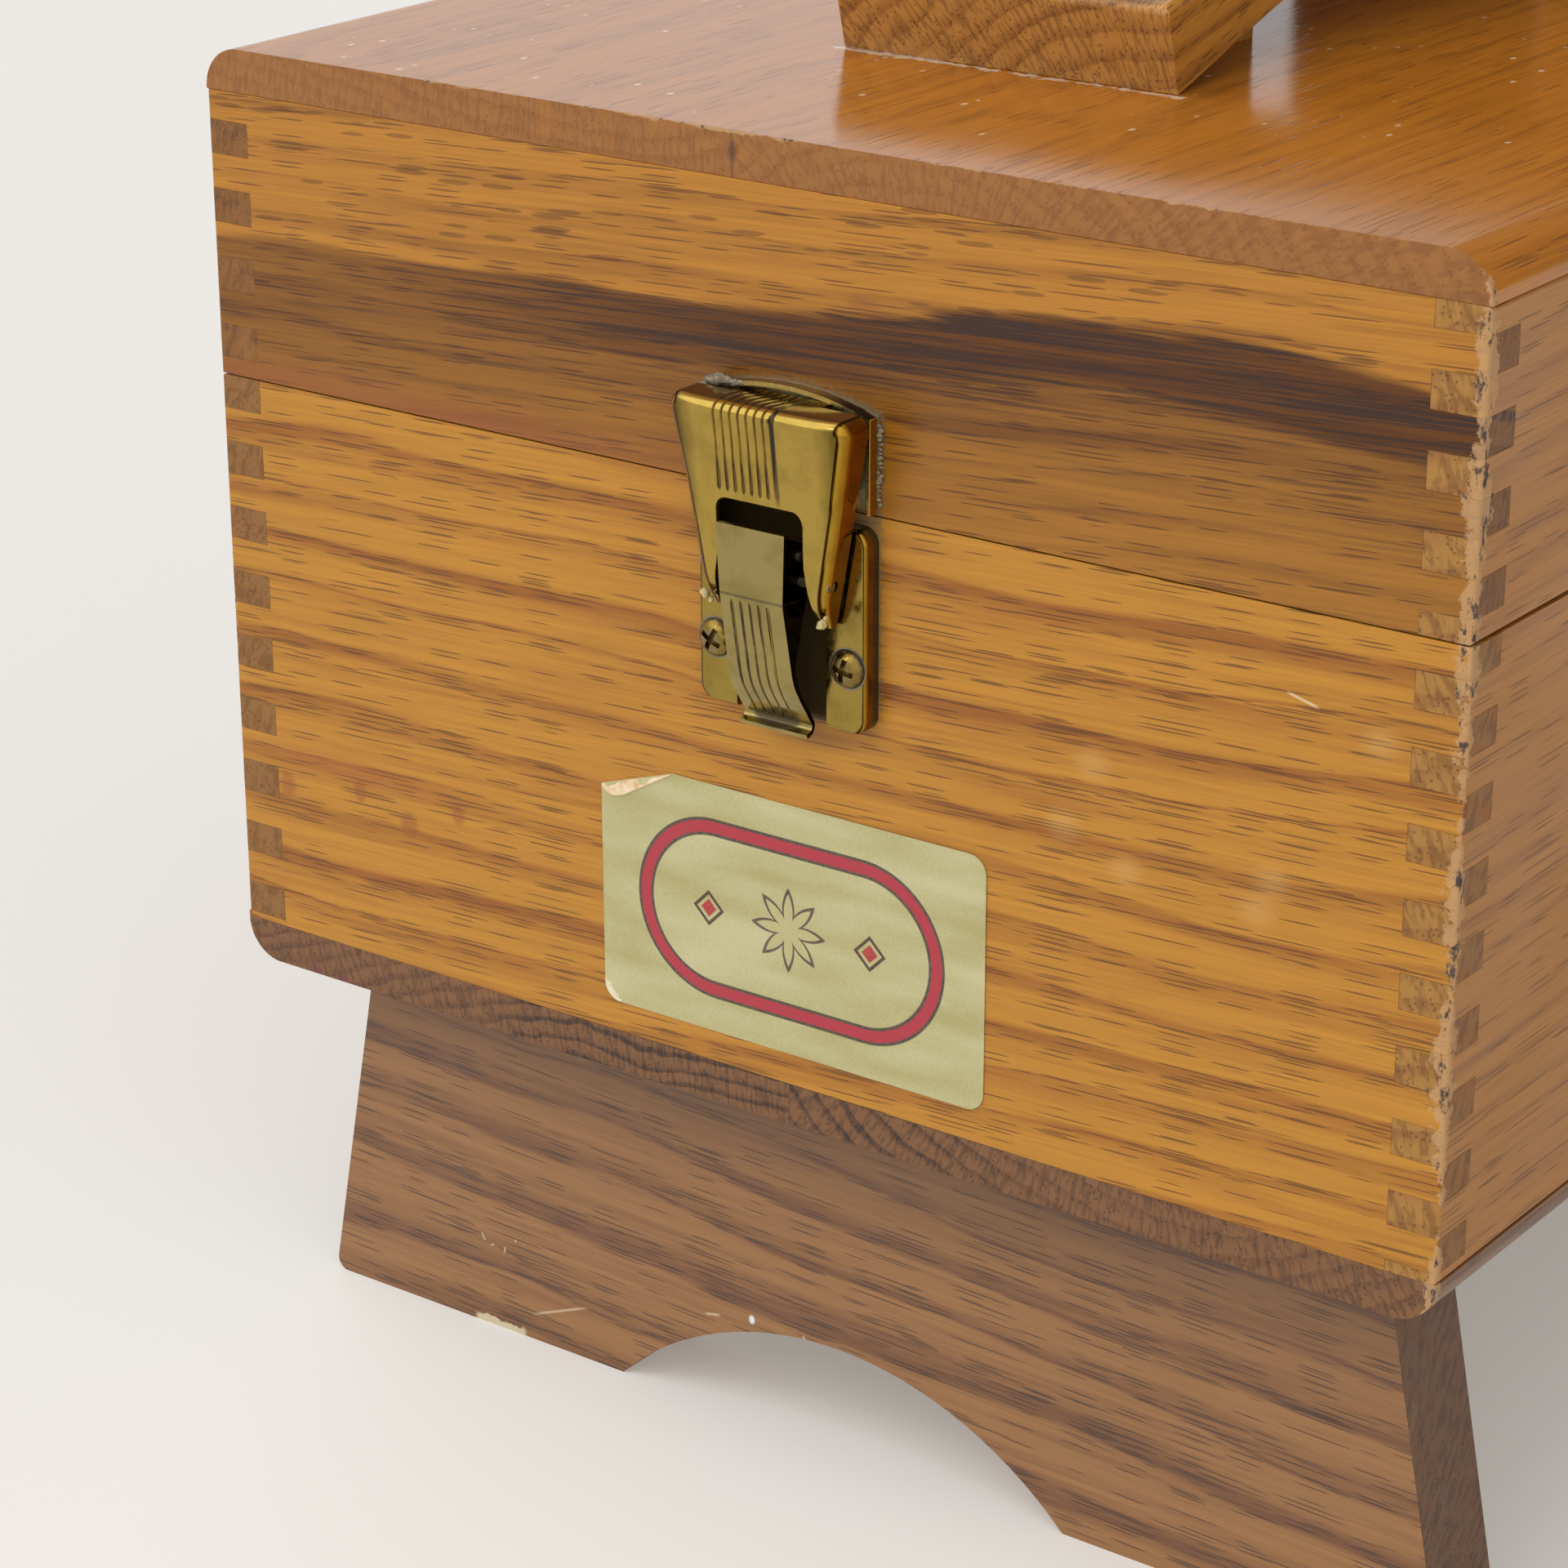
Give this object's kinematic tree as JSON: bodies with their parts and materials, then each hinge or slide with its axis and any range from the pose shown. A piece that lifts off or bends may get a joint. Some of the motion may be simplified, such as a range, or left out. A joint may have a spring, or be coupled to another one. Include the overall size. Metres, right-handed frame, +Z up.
{
  "type": "shoe shine box",
  "caption": "Finger-jointed wooden shoe shine box on splayed feet, with a hinged lid, a sloping foot rest on top and a folding draw latch.",
  "frame": {"origin": "on the floor, under the middle of the part's overall box", "axes": "+Z up; the latch side faces -Y and the hinges are on the +Y side; +X is to the right of someone facing the latch"},
  "size_m": [0.26, 0.3356, 0.3263],
  "materials": {
    "honey_wood": "varnished, open-grained, worn at the edges",
    "brown_wood": "varnished, darker than the box",
    "brass": "polished plate",
    "screw_steel": "dull, with traces of brass plating",
    "label_foil": "gold foil, satin"
  },
  "bodies": {
    "box": {"box_front": "honey_wood", "box_back": "honey_wood", "box_left_side": "honey_wood", "box_right_side": "honey_wood", "box_bottom": "honey_wood", "front_foot": "brown_wood", "rear_foot": "brown_wood", "foot_screws": "brass", "hinge_left_body_leaf": "brass", "hinge_right_body_leaf": "brass", "hinge_left_pin": "brass", "hinge_right_pin": "brass", "hinge_body_screws": "brass", "latch_base_plate": "brass", "latch_base_screws": "screw_steel", "latch_lever_pin": "brass", "label_foil": "label_foil"},
    "lid": {"lid_top": "honey_wood", "lid_front": "honey_wood", "lid_back": "honey_wood", "lid_left_side": "honey_wood", "lid_right_side": "honey_wood", "foot_rest_plank": "honey_wood", "foot_rest_wedge": "honey_wood", "foot_rest_post": "honey_wood", "foot_rest_screws": "brass", "hinge_left_lid_leaf": "brass", "hinge_right_lid_leaf": "brass", "hinge_lid_screws": "brass", "latch_catch": "brass", "latch_catch_screws": "screw_steel"},
    "lever": {"latch_lever": "brass", "latch_hasp_pin": "brass"},
    "hasp": {"latch_hasp": "brass"}
  },
  "joints": [
    {"name": "lid_hinge", "type": "hinge", "parent": "box", "child": "lid", "pos_m": [0, 0.1653, 0.19175], "axis": [-1, 0, 0], "range_deg": [0, 180]},
    {"name": "latch_lever_pivot", "type": "hinge", "parent": "box", "child": "lever", "pos_m": [0.0018, -0.1635, 0.1851], "axis": [-1, 0, 0], "range_deg": [0, 125]},
    {"name": "latch_hasp_pivot", "type": "hinge", "parent": "lever", "child": "hasp", "pos_m": [0.0018, -0.163, 0.1806], "axis": [-1, 0, 0], "range_deg": [-133, 0]}
  ],
  "couplings": [
    {"joint": "latch_hasp_pivot", "follows": "latch_lever_pivot", "ratio": -1.06}
  ]
}
